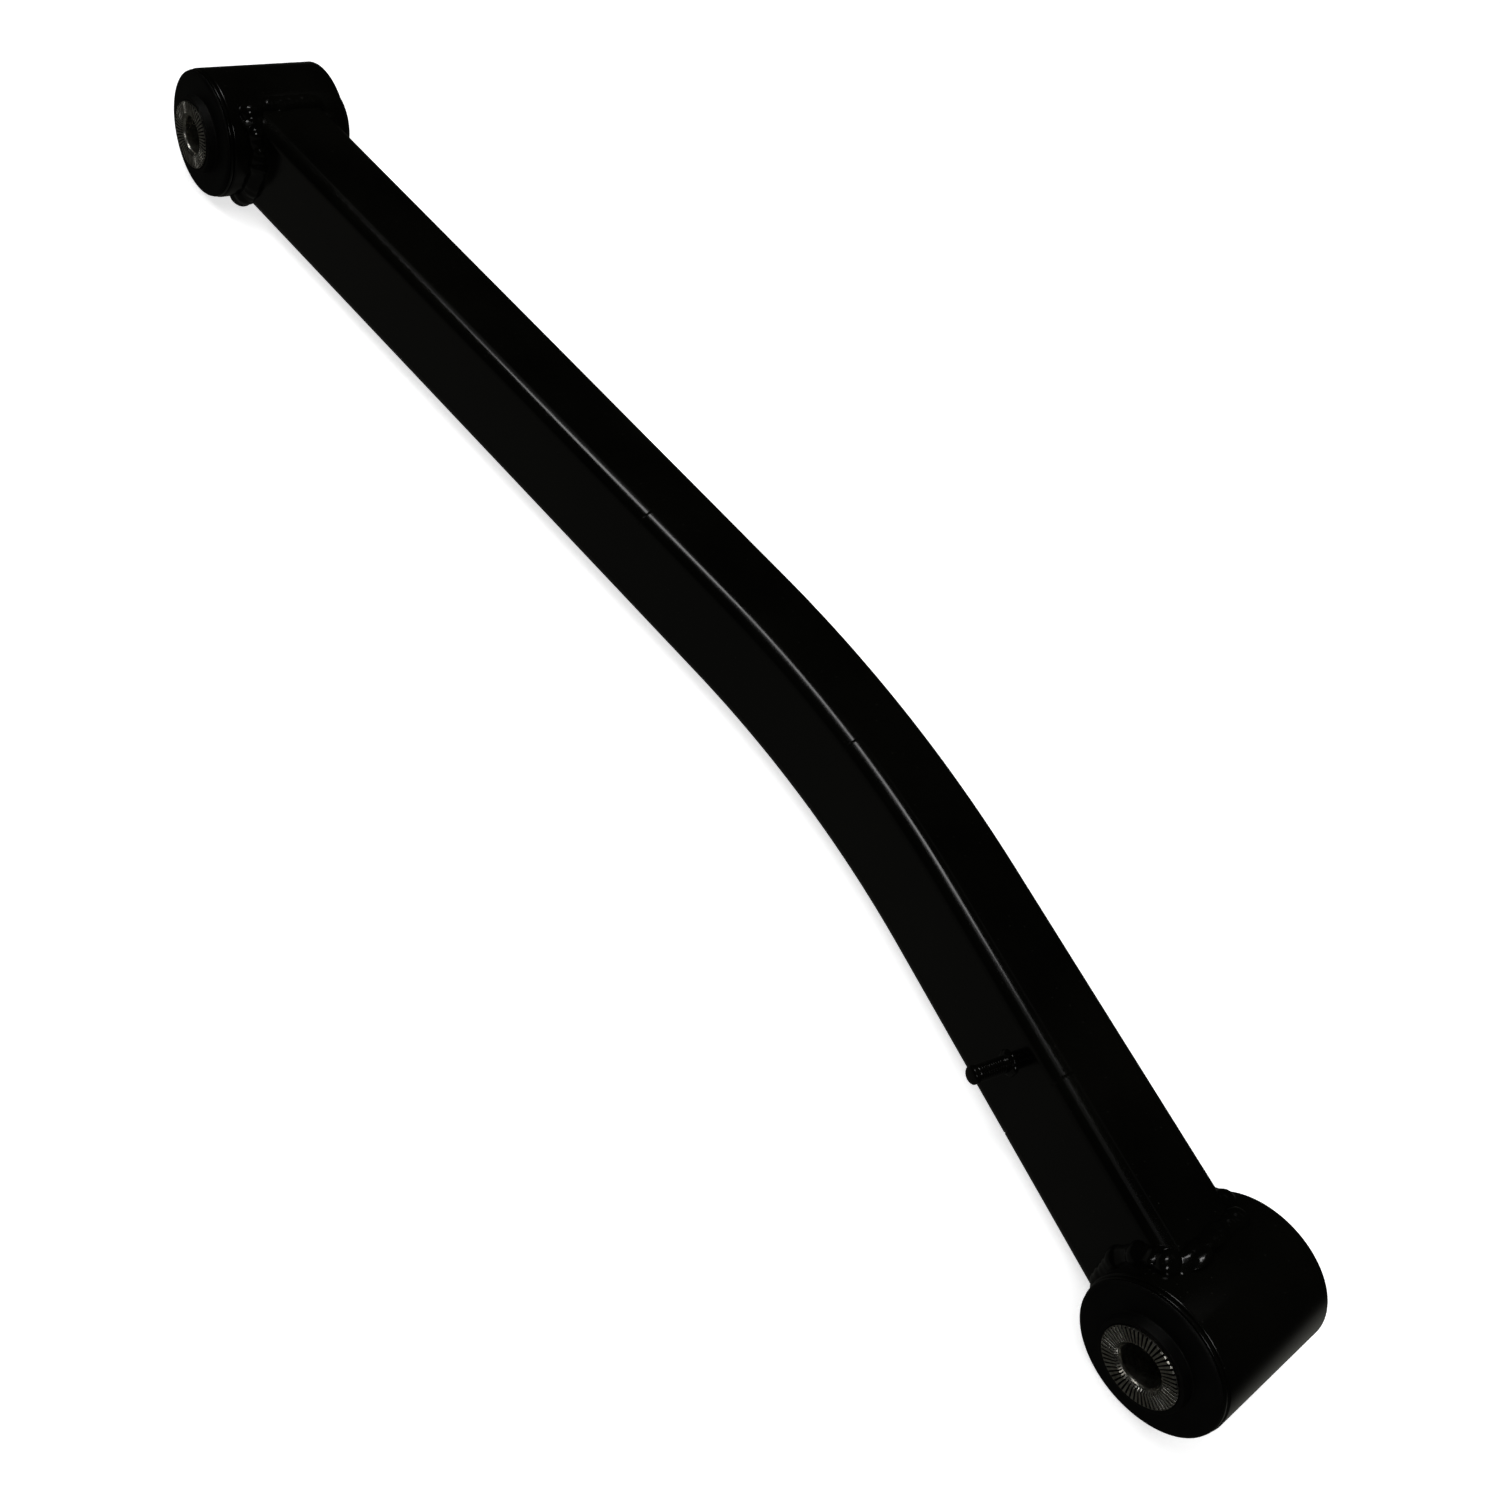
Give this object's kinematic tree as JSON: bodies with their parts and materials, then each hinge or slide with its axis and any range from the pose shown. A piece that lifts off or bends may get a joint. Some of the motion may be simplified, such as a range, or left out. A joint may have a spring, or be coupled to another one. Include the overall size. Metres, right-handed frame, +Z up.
{
  "type": "suspension control arm",
  "caption": "Bent rectangular-tube suspension arm with a rubber-bushed eye welded across each end and a threaded side stud.",
  "frame": {"origin": "middle of the bounding box at its base, under the eyes that the arm rests on", "axes": "+X from the near eye to the far eye, +Y to the side with the stud and the bush flanges, +Z up; both bolts lie along Y"},
  "size_m": [0.6514, 0.0844, 0.0515],
  "materials": {
    "paint": "black paint, satin to gloss",
    "weld": "black paint over a rippled weld bead",
    "rubber": "black moulded rubber, slightly shiny",
    "steel": "bare steel, serrated and turned"
  },
  "bodies": {
    "arm": {"arm_tube": "paint", "near_eye_housing": "paint", "near_bush_shell": "paint", "near_bush_rubber": "rubber", "near_weld_front": "weld", "near_weld_back": "weld", "near_weld_top": "weld", "near_weld_bottom": "weld", "far_eye_housing": "paint", "far_bush_shell": "paint", "far_bush_rubber": "rubber", "far_weld_front": "weld", "far_weld_back": "weld", "far_weld_top": "weld", "far_weld_bottom": "weld", "side_stud": "paint", "stud_weld": "weld"},
    "near_sleeve": {"near_inner_sleeve": "steel"},
    "far_sleeve": {"far_inner_sleeve": "steel"}
  },
  "joints": [
    {"name": "near_bush_twist", "type": "hinge", "parent": "arm", "child": "near_sleeve", "pos_m": [-0.3, 0.00825, 0.02575], "axis": [0, 1, 0], "range_deg": [-25, 25], "stiffness_Nm_per_rad": 60},
    {"name": "far_bush_twist", "type": "hinge", "parent": "arm", "child": "far_sleeve", "pos_m": [0.3, 0.00825, 0.02575], "axis": [0, 1, 0], "range_deg": [-25, 25], "stiffness_Nm_per_rad": 60}
  ]
}
